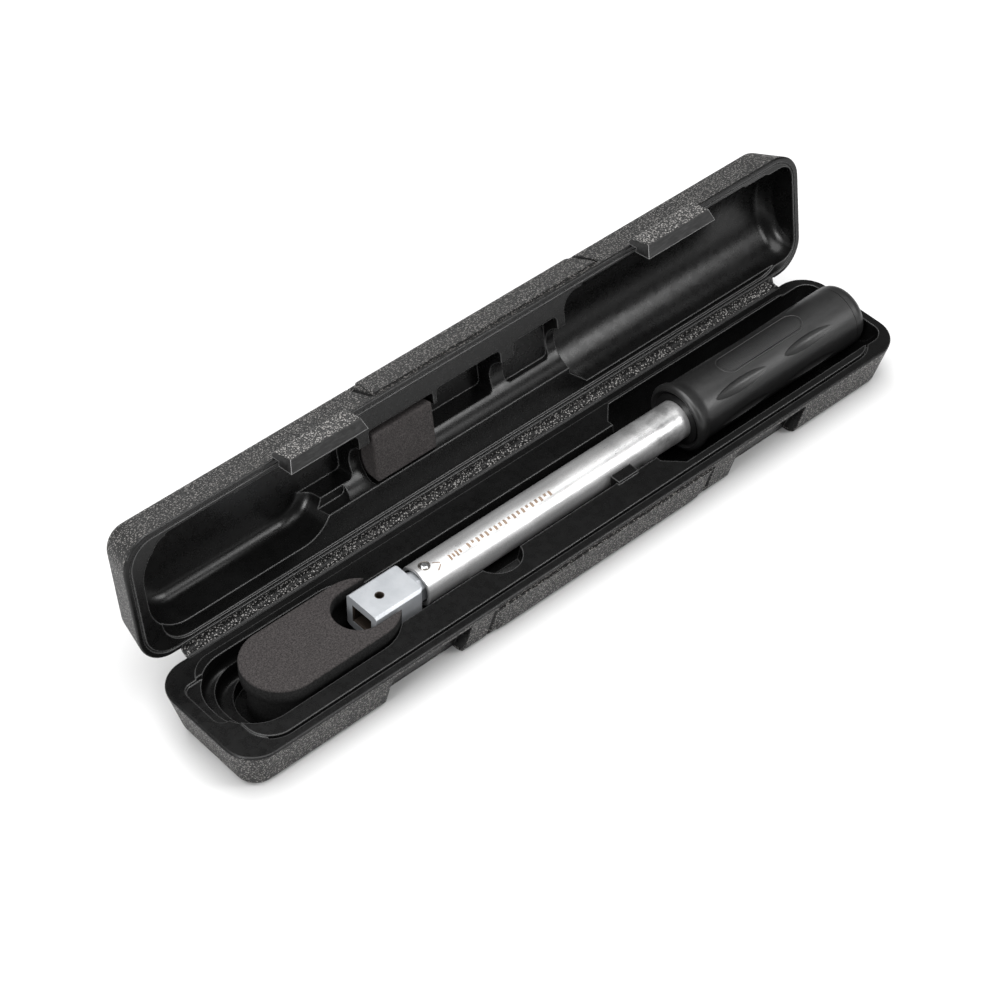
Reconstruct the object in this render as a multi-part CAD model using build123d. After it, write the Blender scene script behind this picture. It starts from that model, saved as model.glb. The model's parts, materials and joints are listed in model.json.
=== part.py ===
from build123d import *
import os
from math import cos, pi, radians, sin, tan

# A preset click torque wrench with a 9 x 12 insert-tool receiver, lying in its fitted, hinged case.
# Frame, in millimetres: origin on the floor under the middle of the case, +X from the wrench's head
# to its grip, -Y towards the latches, +Y towards the case's hinge, +Z up. The lid stands open at rest.

# ---- case
CASE_LENGTH = 430.0
CASE_WIDTH = 71.5
CASE_CORNER = 17.0
RIM_Z = 28.0
LID_HEIGHT = 25.0
WALL_TAPER = 15.0
FLOOR_ROUND = 6.5
RIM_BAND = 5.0
BULGE = 1.0
BULGE_START = -66.0
BULGE_END = 78.0
FLANGE = 3.5
RECESS_FACE_Y = -29.5
RECESS_FOOT_Y = -20.6
GROOVE_HALF = 3.2
GROOVE_DEEP = 3.6
RIM_ROUND = 0.8
CLEAR = 0.3

LEDGE_LENGTH = 400.0
LEDGE_CORNER = 14.0
LEDGE_RISE = 1.0
LEDGE_GROOVE = 2.6
SCOOP = (-208.5, -190.0, -8.0, 22.5, 6.0)
CHANNEL_START = -112.0
CHANNEL_END = 70.0
CHANNEL_HALF = 15.5
CHANNEL_DEPTH = 13.0
CHANNEL_TAPER = 13.0
NOTCH_FINGER = (-44.5, -11.0, 12.5, 10.0)
NUB_START = 31.0
NUB_END = 44.0
NUB_TOP = 2.6
CATCH_HALF = 2.5
CATCH_DEPTH = 7.0

# ---- hinge of the lid, about X
HINGE_Y = 38.6
HINGE_RISE = 0.8
LID_OPEN_DEG = 98.2
HINGE_START = -193.0
HINGE_END = 195.0
LEAF_Y = 34.4

# ---- latches, placed for a closed lid
LATCH_CENTRES = {"left": -105.5, "right": 119.0}
LATCH_OUTER = 41.0
LATCH_INNER = 45.5
LATCH_FACE_Y = -40.6
LATCH_TIP = -11.3
LATCH_BACK_Y = -39.2
LATCH_BACK = 0.2
LATCH_TOP = 1.7
LATCH_ARM_Y = -36.2
LATCH_HOOK_Y = -34.1
LATCH_HOOK_TIP = -13.6
LATCH_PIVOT_Y = -37.4
LATCH_PIVOT_RISE = 0.4
LATCH_PIN_R = 0.7
LUG_OFFSET = 12.0
LUG_WIDTH = 4.0
LUG_R = 1.1

# ---- wrench, along X
WRENCH_Y = 1.0
WRENCH_Z = RIM_Z - 2.2
TUBE_R = 10.5
TUBE_BORE_R = 8.75
TUBE_START = -85.0
TUBE_END = 188.0
HEAD_START = -118.0
HEAD_END = -88.6
HEAD_WIDTH = 21.4
HEAD_HEIGHT = 19.5
SOCKET_WIDTH = 12.1
SOCKET_HEIGHT = 9.1
SOCKET_DEPTH = 22.0
CATCH_X = -107.0
CATCH_R = 1.9
PIVOT_X = -79.5
PIVOT_R = 2.5
RUNNING = 0.05
LEVER_END = -22.0
GRIP_START = 84.5
GRIP_END = 201.0
CAP_END = 209.2
GRIP_R = 16.6
COLLAR_R = 18.6
SCREW_R = 4.0
SCALLOP_R = 4.2
SCALLOP_DEPTH = 2.0
PANEL_X = 144.5
PANEL_LENGTH = 56.0
PANEL_WIDTH = 11.0

# ---- foam
FOAM_Y = 1.8
FOAM_R = 20.0
FOAM_LEFT = -185.0
FOAM_RIGHT = -99.0
FOAM_RISE = 6.5
CAVITY_FLOOR = 3.0
HEAD_STEPS = ((-204.0, -101.0, -21.5, 26.3, 22.0, 8.5, 3.0), (-197.5, -101.0, -20.0, 24.8, 21.0, 17.0, 3.0))
NOTCH_X = -118.5
NOTCH_Y = 2.0
NOTCH_R = 13.4
PAD_SEAT = 15.0
PAD_START = -71.5
PAD_END = -34.5
FOAM_WELL = (-188.5, -98.5, -18.7, 22.3, 20.0)

# ---- handle cavity of the base and handle recess of the lid: start, front, back, corner, taper
HANDLE_START = 50.0
HANDLE_END = 210.5
HANDLE_ROUND = 9.0
BASE_HANDLE = (HANDLE_START, -26.5, 28.9, 8.0, 3.0)
BASE_BARREL = (1.2, 27.7, 22.5)
BASE_HANDLE_PLAN = ((58, 20), (80, 42), (230, 42), (230, -39.5), (80, -39.5), (58, -17.5))
LID_HANDLE = (HANDLE_START + 2.0, -28.9, 27.9, 9.0, 2.0)
LID_HANDLE_PLAN = ((51, -40), (220, -40), (220, 40), (75, 40), (51, 16))

# ---- recesses in the closed lid
LEDGE_HALF = CASE_WIDTH / 2 - RIM_BAND - 0.5
LID_POCKET = 20.0
LID_BARREL = (-0.5, 28.4, LID_POCKET + 0.6)
HEAD_PILL = (-206.0, -98.0, -29.0, 23.0, 20.0)
PILL_TAPER = 6.0
PILL_ROUND = 7.0
TROUGH_START = -122.0
TROUGH_END = 62.0
RECEIVER_RELIEF_END = -86.0
RECEIVER_RELIEF_HALF = 13.0
RECEIVER_RELIEF_DEPTH = 9.0
PAD_GAP = 1.5
SLOT_FRONT = -30.6
SLOT_BACK = -18.0
SLOT_DEPTH = 8.0
LINE_DEPTH = 0.8
LINE_OUTSIDE = 2.6
LINE_INSIDE = 3.4
TROUGH_R = 13.6
CROWN_FRONT = -20.0
CROWN_BACK = 8.9
CROWN_POCKETS = ((-107.0, -79.0, 20.0), (-31.0, 10.0, 20.0), (18.0, 47.0, 12.0))
WALL_SLOTS = ((64.0, 104.0), (150.0, 178.0), (-190.0, -150.0))


def block(x0, x1, y0, y1, z0, z1):
    """A box between two corners."""
    middle = Pos((x0 + x1) / 2, (y0 + y1) / 2, (z0 + z1) / 2)
    return middle * Box(x1 - x0, y1 - y0, z1 - z0)


def pocket(x0, x1, y0, y1, corner, z_open, depth, taper, up=False):
    """A rounded-rectangle cutter that narrows from its open end."""
    flat = Pos((x0 + x1) / 2, (y0 + y1) / 2, z_open) * RectangleRounded(x1 - x0, y1 - y0, corner)
    way = (0, 0, 1) if up else (0, 0, -1)
    return extrude(flat, amount=depth, dir=way, taper=taper)


def rod_x(radius, x0, x1, y=0.0, z=0.0):
    """A cylinder along X."""
    return Pos((x0 + x1) / 2, y, z) * Rot(0, 90, 0) * Cylinder(radius, x1 - x0)


def rod_y(radius, x, y0, y1, z):
    """A cylinder along Y."""
    return Pos(x, (y0 + y1) / 2, z) * Rot(90, 0, 0) * Cylinder(radius, y1 - y0)


def rod_z(radius, x, y, z0, z1):
    """A cylinder along Z."""
    return Pos(x, y, (z0 + z1) / 2) * Cylinder(radius, z1 - z0)


def soften(shape, edges, radius):
    """The shape with those edges rounded, or as it was where the round doesn't fit."""
    try:
        softened = fillet(edges, radius)
    except Exception:
        print("no round of", radius)
        return shape
    return softened


def case_half(height, up):
    """The solid outside of one case half, with its rim plane at z = 0."""
    way = 1 if up else -1
    body = pocket(
        -CASE_LENGTH / 2, CASE_LENGTH / 2, -CASE_WIDTH / 2, CASE_WIDTH / 2,
        CASE_CORNER, 0, height, WALL_TAPER, up,
    )
    outer = body.faces().sort_by(Axis.Z)[-1 if up else 0]
    body = soften(body, outer.edges(), FLOOR_ROUND)
    swell = CASE_WIDTH / 2 + BULGE - FLANGE * tan(radians(WALL_TAPER))
    middle = pocket(
        BULGE_START, BULGE_END, -swell, swell,
        2.0, way * FLANGE, height - FLANGE, WALL_TAPER, up,
    )
    outer = middle.faces().sort_by(Axis.Z)[-1 if up else 0]
    middle = soften(middle, outer.edges().filter_by(Axis.X), FLOOR_ROUND)
    body = body + middle
    for x in (BULGE_START, BULGE_END):
        body = body - cross_groove(x, height, way)
    return body


def cross_groove(x, height, way):
    """The V groove that crosses the front and back walls beside the swollen middle."""
    half, deep = GROOVE_HALF, GROOVE_DEEP
    tool = None
    for side in (-1, 1):
        edge = CASE_WIDTH / 2 + BULGE
        lean = height * tan(radians(WALL_TAPER))
        top = Plane(origin=(x, 0, way * FLANGE), z_dir=(0, 0, way))
        end = Plane(origin=(x, 0, way * (height + 1)), z_dir=(0, 0, way))
        flats = []
        for plane, inset in ((top, 0.0), (end, lean)):
            y_out = side * (edge + 1 - inset)
            y_in = side * (edge - deep - inset)
            tip = [(-half, y_out), (half, y_out), (0, y_in)]
            face = make_face(Polyline([Vector(x + u, v, plane.origin.Z) for u, v in tip], close=True))
            flats.append(face)
        wedge = loft(flats)
        tool = wedge if tool is None else tool + wedge
    return tool


def latch_recess(centre):
    """The room in the base's front wall for one latch's hook, running back under the case."""
    half = LATCH_INNER / 2 + 1.5
    section = [
        (-CASE_WIDTH, -FLANGE), (RECESS_FACE_Y, -FLANGE),
        (RECESS_FOOT_Y, -RIM_Z - 1), (-CASE_WIDTH, -RIM_Z - 1),
    ]
    corners = [Vector(centre - half, y, z) for y, z in section]
    return extrude(make_face(Polyline(corners, close=True)), amount=2 * half, dir=(1, 0, 0))


def make_case_base():
    """The lower case half with its fitted tray; its rim plane is z = 0 until it is placed."""
    body = case_half(RIM_Z, up=False)
    half = LEDGE_LENGTH / 2
    ledge = pocket(-half, half, -LEDGE_HALF, LEDGE_HALF, LEDGE_CORNER, -1, LEDGE_RISE + 1, 0, up=True)
    body = body + ledge
    for centre in LATCH_CENTRES.values():
        body = body - latch_recess(centre)
    # the dark line between the rim band and the tray's ledge, along the front and the left corner
    wide = LEDGE_HALF + 1
    ring = pocket(-half - 1, half + 1, -wide, wide, LEDGE_CORNER + 1, 1, LEDGE_GROOVE, 0)
    ring = ring - pocket(-half, half, -LEDGE_HALF, LEDGE_HALF, LEDGE_CORNER, 2, 5, 0)
    body = body - (ring & block(4 - half, half + 3, -CASE_WIDTH, -10, -5, 5))
    # head cavity with its two soft steps
    for x0, x1, front, back, corner, depth, round_r in HEAD_STEPS:
        step = pocket(x0, x1, front, back, corner, 2, depth + 2, 2)
        body = body - soften(step, step.faces().sort_by(Axis.Z)[0].edges(), round_r)
    body = body - pocket(*FOAM_WELL, 2, RIM_Z - CAVITY_FLOOR + 2, 0)
    # a shallow scoop between the rim band and the head cavity
    body = body - pocket(*SCOOP, 2, 3.2, 20)
    # tube channel, bevelled handle cavity and the funnel between them
    front, back = WRENCH_Y - CHANNEL_HALF, WRENCH_Y + CHANNEL_HALF
    top = LEDGE_RISE + 0.01
    body = body - pocket(CHANNEL_START, CHANNEL_END, front, back, 3, top, CHANNEL_DEPTH + top, CHANNEL_TAPER)
    body = body - base_handle_cavity()
    # finger notch beside the tube
    x, y, radius, depth = NOTCH_FINGER
    body = body - rod_z(radius, x, y, -depth, 3)
    # nub that keeps the tube in its channel
    body = body + block(NUB_START, NUB_END, WRENCH_Y - 17, WRENCH_Y - TUBE_R - 0.4, -9, NUB_TOP)
    # catch slots at both ends of each recess
    for centre in LATCH_CENTRES.values():
        for side in (-1, 1):
            x = centre + side * (LATCH_INNER / 2 - 1.5)
            low = -FLANGE - CATCH_DEPTH
            body = body - block(x - CATCH_HALF, x + CATCH_HALF, -36, RECESS_FACE_Y + 2, low, -FLANGE)
    rim = body.edges().filter_by(lambda e: on_rim_edge(e))
    body = soften(body, rim, RIM_ROUND)
    return Pos(0, 0, RIM_Z) * body


def barrel(x0, x1, y, half_width, depth, end_round):
    """A trough with an elliptical section along X and a rounded far end, centred on the rim plane."""
    flat = Plane.YZ.offset(x0) * Pos(y, 0) * Ellipse(half_width, depth)
    body = extrude(flat, amount=x1 - x0)
    return soften(body, body.faces().sort_by(Axis.X)[-1].edges(), end_round)


def base_handle_cavity():
    """The cavity round the grip, with both corners cut across where the tube channel enters it."""
    x0, front, back, corner, taper = BASE_HANDLE
    cavity = pocket(x0, HANDLE_END - 0.3, front, back, corner, LEDGE_RISE + 0.01, RIM_Z, taper)
    cavity = cavity & barrel(x0, HANDLE_END, *BASE_BARREL, HANDLE_ROUND)
    cut = make_face(Polyline([Vector(x, y, 2) for x, y in BASE_HANDLE_PLAN], close=True))
    return cavity & extrude(cut, amount=RIM_Z, dir=(0, 0, -1))


def on_rim_edge(edge):
    """Whether an edge is on the outer outline of the rim plane."""
    if abs(edge.center().Z) > 0.01:
        return False
    box = edge.bounding_box()
    if abs(box.min.Z) > 0.01 or abs(box.max.Z) > 0.01:
        return False
    far_x = max(abs(box.min.X), abs(box.max.X)) > CASE_LENGTH / 2 - 1
    far_y = max(abs(box.min.Y), abs(box.max.Y)) > CASE_WIDTH / 2 - 0.2
    return far_x or far_y


def trough(radius, x0, x1, top):
    """A round-bottomed channel for the wrench in the lid, open at the rim plane."""
    bore = rod_x(radius, x0, x1, WRENCH_Y, WRENCH_Z - RIM_Z)
    return bore & block(x0, x1, -60, 60, -60, top)


def make_case_lid():
    """The upper case half, modelled closed, with its rim plane at z = 0."""
    body = case_half(LID_HEIGHT, up=True)
    # head recess, with a rounded right end that runs out into the tube's trough
    pill = pocket(*HEAD_PILL, 0, LID_POCKET, PILL_TAPER, up=True)
    pill = soften(pill, pill.faces().sort_by(Axis.Z)[-1].edges(), PILL_ROUND)
    body = body - pill
    # tube trough with pockets in its crown
    body = body - trough(TROUGH_R, TROUGH_START, TROUGH_END, LID_HEIGHT + 5)
    front, back = WRENCH_Y - RECEIVER_RELIEF_HALF, WRENCH_Y + RECEIVER_RELIEF_HALF
    relief = pocket(TROUGH_START, RECEIVER_RELIEF_END, front, back, 3, 0, RECEIVER_RELIEF_DEPTH, 0, up=True)
    body = body - relief
    for x0, x1, depth in CROWN_POCKETS:
        body = body - pocket(x0, x1, CROWN_FRONT, CROWN_BACK, 3, 0, depth, 1, up=True)
    body = body - pocket(PAD_START - PAD_GAP, PAD_END + PAD_GAP, -19, 14, 2, 0, PAD_SEAT, 1, up=True)
    body = body - lid_handle_recess()
    # shallow slots in the free edge's inner wall, behind the latches
    for x0, x1 in WALL_SLOTS:
        body = body - pocket(x0, x1, SLOT_FRONT, SLOT_BACK, 3, 0, SLOT_DEPTH, 0, up=True)
    # the fine double line round the rim band
    wide = CASE_WIDTH / 2 - LINE_OUTSIDE
    slim = CASE_WIDTH / 2 - LINE_INSIDE
    line = pocket(-212, 212, -wide, wide, 15, 0, LINE_DEPTH, 0, up=True)
    line = line - pocket(-211, 211, -slim, slim, 14, -1, 3, 0, up=True)
    body = body - line
    rim = body.edges().filter_by(lambda e: on_rim_edge(e))
    body = soften(body, rim, RIM_ROUND)
    # room for the base's raised ledge and for the base's leaf of the hinge
    half, wide = LEDGE_LENGTH / 2 + 1, LEDGE_HALF + 0.75
    body = body - pocket(-half, half, -wide, wide, LEDGE_CORNER + 0.5, -1, 1 + LEDGE_RISE + CLEAR, 0, up=True)
    body = body - block(HINGE_START - CLEAR, HINGE_END + CLEAR, LEAF_Y - CLEAR, 40, -1, HINGE_RISE + CLEAR)
    for centre in LATCH_CENTRES.values():
        body = body + latch_lugs(centre)
    return body


def lid_handle_recess():
    """The deep, soft-cornered recess over the grip, with its rear left corner cut across."""
    x0, front, back, corner, taper = LID_HANDLE
    recess = pocket(x0, HANDLE_END, front, back, corner, 0, LID_HEIGHT, taper, up=True)
    recess = recess & barrel(HANDLE_START, HANDLE_END, *LID_BARREL, HANDLE_ROUND)
    cut = make_face(Polyline([Vector(x, y, -1) for x, y in LID_HANDLE_PLAN], close=True))
    return recess & extrude(cut, amount=LID_HEIGHT + 2, dir=(0, 0, 1))


def latch_lugs(centre):
    """Two ears on the lid's free edge that carry one latch's pin."""
    ears = None
    for side in (-1, 1):
        x0 = centre + side * LUG_OFFSET - LUG_WIDTH / 2
        x1 = x0 + LUG_WIDTH
        ear = rod_x(LUG_R, x0, x1, LATCH_PIVOT_Y, LATCH_PIVOT_RISE)
        high = LATCH_PIVOT_RISE + LUG_R
        ear = ear + block(x0, x1, LATCH_PIVOT_Y, -CASE_WIDTH / 2 + 3, CLEAR, high)
        ear = ear - rod_x(LATCH_PIN_R, x0 - 1, x1 + 1, LATCH_PIVOT_Y, LATCH_PIVOT_RISE)
        ears = ear if ears is None else ears + ear
    return ears


def make_latch(centre):
    """A latch in its closed place: a hooked bar with bevelled ends, slotted for the lid's ears."""
    ledge = -FLANGE - 0.5
    section = [
        (LATCH_FACE_Y, LATCH_TIP), (LATCH_BACK_Y, LATCH_BACK), (LATCH_BACK_Y + 1.3, LATCH_TOP),
        (LATCH_ARM_Y - 0.7, LATCH_TOP), (LATCH_ARM_Y, LATCH_TOP - 0.7), (LATCH_ARM_Y, ledge),
        (LATCH_HOOK_Y, ledge), (LATCH_HOOK_Y, LATCH_HOOK_TIP),
    ]
    corners = [Vector(centre - LATCH_INNER, y, z) for y, z in section]
    bar = extrude(make_face(Polyline(corners, close=True)), amount=2 * LATCH_INNER, dir=(1, 0, 0))
    low = LATCH_HOOK_TIP - 1
    plan = [
        (centre - LATCH_OUTER / 2, LATCH_FACE_Y), (centre + LATCH_OUTER / 2, LATCH_FACE_Y),
        (centre + LATCH_INNER / 2, LATCH_HOOK_Y), (centre - LATCH_INNER / 2, LATCH_HOOK_Y),
    ]
    outline = make_face(Polyline([Vector(x, y, low) for x, y in plan], close=True))
    bar = bar & extrude(outline, amount=LATCH_TOP - low + 1, dir=(0, 0, 1))
    # the finger edge along the tip
    tip = bar.edges().filter_by(Axis.X).sort_by(Axis.Y)[0]
    bar = soften(bar, [tip], 0.5)
    high = LATCH_TOP + 5
    for side in (-1, 1):
        x = centre + side * LUG_OFFSET
        half = LUG_WIDTH / 2 + 0.4
        floor = LATCH_PIVOT_RISE - LUG_R - 0.4
        back = LATCH_PIVOT_Y - LUG_R - 0.25
        bar = bar - block(x - half, x + half, back, 0, floor, high)
    half = LATCH_OUTER / 2 - 0.8
    bore = rod_x(LATCH_PIN_R + RUNNING, centre - half, centre + half, LATCH_PIVOT_Y, LATCH_PIVOT_RISE)
    return bar - bore


def make_latch_pin(centre):
    """The pin of one latch, held in the lid's ears."""
    half = LATCH_OUTER / 2 - 1.0
    return rod_x(LATCH_PIN_R, centre - half, centre + half, LATCH_PIVOT_Y, LATCH_PIVOT_RISE)


def make_hinge_leaf(lid):
    """Half of the moulded strip hinge, on the base or, modelled closed, on the lid."""
    low = HINGE_RISE + 0.3 if lid else HINGE_RISE - 2.0
    return block(HINGE_START, HINGE_END, LEAF_Y, HINGE_Y - 0.25, low, low + 1.7)


def make_head_foam():
    """The loose foam block that cradles the wrench's head, with its rounded notch."""
    middle = (FOAM_LEFT + FOAM_RIGHT) / 2
    outline = Pos(middle, FOAM_Y, 0) * SlotOverall(FOAM_RIGHT - FOAM_LEFT, 2 * FOAM_R)
    notch = Pos(NOTCH_X, NOTCH_Y, 0) * Circle(NOTCH_R)
    mouth = Pos(NOTCH_X + 20, NOTCH_Y, 0) * Rectangle(40, 2 * NOTCH_R)
    flat = outline - notch - mouth
    return Pos(0, 0, CAVITY_FLOOR) * extrude(flat, amount=RIM_Z - CAVITY_FLOOR + FOAM_RISE)


def make_lid_pad():
    """The foam pad in the lid that bears on the tube, modelled closed at its pressed height."""
    low = WRENCH_Z - RIM_Z + TUBE_R + CLEAR
    return block(PAD_START, PAD_END, -15.0, 12.6, low, PAD_SEAT)


def make_tube():
    """The wrench's steel body tube, with the cross hole for the pivot and a snap-ring groove."""
    tube = rod_x(TUBE_R, TUBE_START, TUBE_END) - rod_x(TUBE_BORE_R, TUBE_START - 1, TUBE_END + 1)
    rims = tube.edges().filter_by(GeomType.CIRCLE).filter_by(lambda e: e.radius > TUBE_R - 0.1)
    tube = soften(tube, rims, 0.5)
    tube = tube - rod_z(PIVOT_R, PIVOT_X, 0, -12, 12)
    tube = tube - rod_x(TUBE_BORE_R + 0.6, 139.2, 140.8)
    return tube


def make_receiver_head():
    """The forged receiver and, in one piece with it, the lever that runs back into the tube."""
    half_w, half_h = HEAD_WIDTH / 2, HEAD_HEIGHT / 2
    head = block(HEAD_START, HEAD_END, -half_w, half_w, -half_h, half_h)
    long_edges = head.edges().filter_by(Axis.X)
    head = chamfer(long_edges, 1.3)
    back = head.faces().sort_by(Axis.X)[-1]
    head = soften(head, back.edges().filter_by(Axis.Z), 3.0)
    socket = block(
        HEAD_START - 1, HEAD_START + SOCKET_DEPTH,
        -SOCKET_WIDTH / 2, SOCKET_WIDTH / 2, -SOCKET_HEIGHT / 2, SOCKET_HEIGHT / 2,
    )
    mouth = Plane(origin=(HEAD_START, 0, 0), z_dir=(1, 0, 0))
    lead_in = extrude(mouth * Rectangle(SOCKET_HEIGHT + 1.6, SOCKET_WIDTH + 1.6), amount=0.8, taper=45)
    head = head - socket - lead_in
    head = head - rod_z(CATCH_R, CATCH_X, 0, 0, half_h + 1)
    neck = rod_x(7.6, HEAD_END - 1, PIVOT_X + 9)
    neck = neck & block(HEAD_END - 1, PIVOT_X + 9, -6.5, 6.5, -7, 7)
    lever = block(PIVOT_X + 8, LEVER_END, -4.5, 4.5, -5.5, 5.5)
    lever = chamfer(lever.edges().filter_by(Axis.X), 1.0)
    arm = head + neck + lever
    return arm - rod_z(PIVOT_R + RUNNING, PIVOT_X, 0, -12, 12)


def make_pivot_pin():
    """The cross pin that the head swings on, with a low domed end."""
    pin = rod_z(PIVOT_R, PIVOT_X, 0, -TUBE_R + 0.3, TUBE_R + 0.5)
    top = pin.faces().sort_by(Axis.Z)[-1]
    return soften(pin, top.edges(), 1.2)


def make_click_block():
    """The little hardened block that tilts between the lever and the plunger when it clicks."""
    cube = block(LEVER_END + 0.5, LEVER_END + 7.5, -3.5, 3.5, -3.5, 3.5)
    return chamfer(cube.edges().filter_by(Axis.Z), 0.6)


PLUNGER_START = LEVER_END + 8.0
PLUNGER_END = PLUNGER_START + 20.0
SEAT_START = 92.0
SEAT_LENGTH = 8.0
SEAT_TRAVEL = 6.0
SCREW_START = 89.0
SCREW_HEAD = 126.0
PLUG_START = 129.3
PLUG_END = 139.1
SPRING_R = 6.3
SPRING_WIRE_R = 1.4
SPRING_TURNS = 15


def make_plunger():
    """The plunger that carries the spring's force to the click block."""
    plunger = rod_x(TUBE_BORE_R - 0.1, PLUNGER_START, PLUNGER_END)
    plunger = chamfer(plunger.edges().filter_by(GeomType.CIRCLE), 0.6)
    return plunger + rod_x(4.5, PLUNGER_END - 1, PLUNGER_END + 6)


def make_main_spring():
    """The preset spring: one coil of wire of even pitch, without closed ends."""
    first = PLUNGER_END + SPRING_WIRE_R + 0.05
    last = SEAT_START - SPRING_WIRE_R - 0.05
    height = last - first
    path = Helix(height / SPRING_TURNS, height, SPRING_R, center=(first, 0, 0), direction=(1, 0, 0))
    start = Plane(origin=path @ 0, z_dir=path % 0)
    return sweep(start * Circle(SPRING_WIRE_R), path, is_frenet=True)


def make_spring_seat():
    """The nut that the adjusting screw draws along the tube to load the spring."""
    seat = rod_x(TUBE_BORE_R - 0.1, SEAT_START, SEAT_START + SEAT_LENGTH)
    seat = chamfer(seat.edges().filter_by(GeomType.CIRCLE), 0.5)
    return seat - rod_x(SCREW_R + RUNNING, SEAT_START - 1, SEAT_START + SEAT_LENGTH + 1)


def make_adjusting_screw():
    """The preset screw, its collar against the end plug and a hex socket in its rear end."""
    screw = rod_x(SCREW_R, SCREW_START, 158)
    screw = chamfer(screw.edges().filter_by(GeomType.CIRCLE), 0.6)
    screw = screw + rod_x(7.2, SCREW_HEAD, PLUG_START - 0.3)
    key = Plane(origin=(158, 0, 0), z_dir=(-1, 0, 0))
    return screw - extrude(key * RegularPolygon(2.3, 6), amount=5)


def make_lock_nut():
    """The hexagon nut that locks the screw at its preset."""
    start = Plane(origin=(144, 0, 0), z_dir=(1, 0, 0))
    nut = extrude(start * RegularPolygon(7.4, 6), amount=5.5)
    nut = nut & rod_x(7.2, 143, 151)
    return nut - rod_x(SCREW_R, 143, 151)


def make_end_plug():
    """The thrust plug fixed in the tube, bored for the screw's shank."""
    plug = rod_x(TUBE_BORE_R, PLUG_START, PLUG_END)
    return plug - rod_x(SCREW_R + RUNNING, PLUG_START - 1, PLUG_END + 1)


def make_retaining_ring():
    """The snap ring behind the thrust plug, open at its gap."""
    ring = rod_x(TUBE_BORE_R + 0.5, 139.3, 140.7) - rod_x(TUBE_BORE_R - 1.4, 139, 141)
    return ring - block(138, 142, -2.2, 2.2, 3, 12)


def grip_outline():
    """Half of the grip's outside, from its rolled collar back to the end-cap seam."""
    x0 = GRIP_START
    with BuildLine() as line:
        RadiusArc((x0 + 1.5, COLLAR_R - 2.6), (x0 + 4.0, COLLAR_R), 2.9)
        Spline((x0 + 4.0, COLLAR_R), (x0 + 11.0, GRIP_R + 0.2), tangents=[(1, 0), (1, 0)])
        Spline(
            (x0 + 11.0, GRIP_R + 0.2), (x0 + 56.0, GRIP_R - 0.35), (GRIP_END, GRIP_R + 0.1),
            tangents=[(1, 0), (1, 0)],
        )
        Line((GRIP_END, GRIP_R + 0.1), (GRIP_END, TUBE_R))
        Line((GRIP_END, TUBE_R), (x0 + 4.5, TUBE_R))
        Line((x0 + 4.5, TUBE_R), (x0 + 4.5, COLLAR_R - 4.4))
        Line((x0 + 4.5, COLLAR_R - 4.4), (x0 + 1.5, COLLAR_R - 2.6))
    return line.line


def make_grip():
    """The moulded grip: rolled collar, six pairs of long finger scallops and a panel seat on top."""
    grip = revolve(make_face(grip_outline()), Axis.X)
    for first, last in ((95.0, 148.0), (142.0, 193.0)):
        for turn in range(6):
            grip = grip - scallop(first, last, 45 + turn * 54)
    grip = grip - panel_column(0.0, GRIP_R - 0.9)
    return grip


def scallop(x0, x1, angle):
    """A long pointed leaf cut into the grip's side, at an angle from the top."""
    half = (x1 - x0) / 2
    with BuildLine() as line:
        ThreePointArc((-half, 0), (0, SCALLOP_R), (half, 0))
        Line((half, 0), (-half, 0))
    spindle = revolve(make_face(line.line), Axis.X)
    return Rot(angle, 0, 0) * Pos((x0 + x1) / 2, 0, GRIP_R + SCALLOP_R - SCALLOP_DEPTH) * spindle


def panel_column(gap, floor):
    """A stadium-shaped column over the top of the grip, down to a floor radius."""
    slot = Pos(PANEL_X, 0, 0) * SlotOverall(PANEL_LENGTH - 2 * gap, PANEL_WIDTH - 2 * gap)
    column = extrude(slot, amount=30)
    return column - rod_x(floor, 100, 195)


def make_grip_panel():
    """The plain stippled panel let into the top of the grip."""
    column = panel_column(0.2, GRIP_R - 0.9)
    return column & rod_x(GRIP_R - 0.15, 100, 195)


def make_grip_collar():
    """The bevelled ring inside the grip's mouth, round the tube."""
    x0 = GRIP_START
    profile = Polyline([
        Vector(x0 + 1.8, 0, TUBE_R + 0.2), Vector(x0 + 4.5, 0, TUBE_R + 0.2),
        Vector(x0 + 4.5, 0, COLLAR_R - 4.5), Vector(x0 + 2.6, 0, COLLAR_R - 4.6),
    ], close=True)
    return revolve(make_face(profile), Axis.X)


def make_end_cap():
    """The domed cap that closes the grip over the adjusting screw."""
    cap = rod_x(GRIP_R - 0.1, GRIP_END + 0.4, CAP_END)
    cap = soften(cap, cap.faces().sort_by(Axis.X)[-1].edges(), 5.6)
    spigot = rod_x(TUBE_BORE_R - 0.2, TUBE_END - 8, GRIP_END + 1) - rod_x(6.5, TUBE_END - 9, GRIP_END + 2)
    rib = rod_x(GRIP_R - 1.2, GRIP_END, GRIP_END + 1) - rod_x(12, GRIP_END - 1, GRIP_END + 2)
    return cap + spigot + rib


def closed_to_open(shape):
    """Takes a piece modelled on the closed lid, with its rim plane at z = 0, to the open lid."""
    raised = Pos(0, 0, RIM_Z) * shape
    axis = Axis((0, HINGE_Y, RIM_Z + HINGE_RISE), (1, 0, 0))
    return raised.rotate(axis, -LID_OPEN_DEG)


def wrench_place(shape):
    """Takes a piece modelled about the wrench's own axis to its place in the case."""
    return Pos(0, WRENCH_Y, WRENCH_Z) * shape


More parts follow.
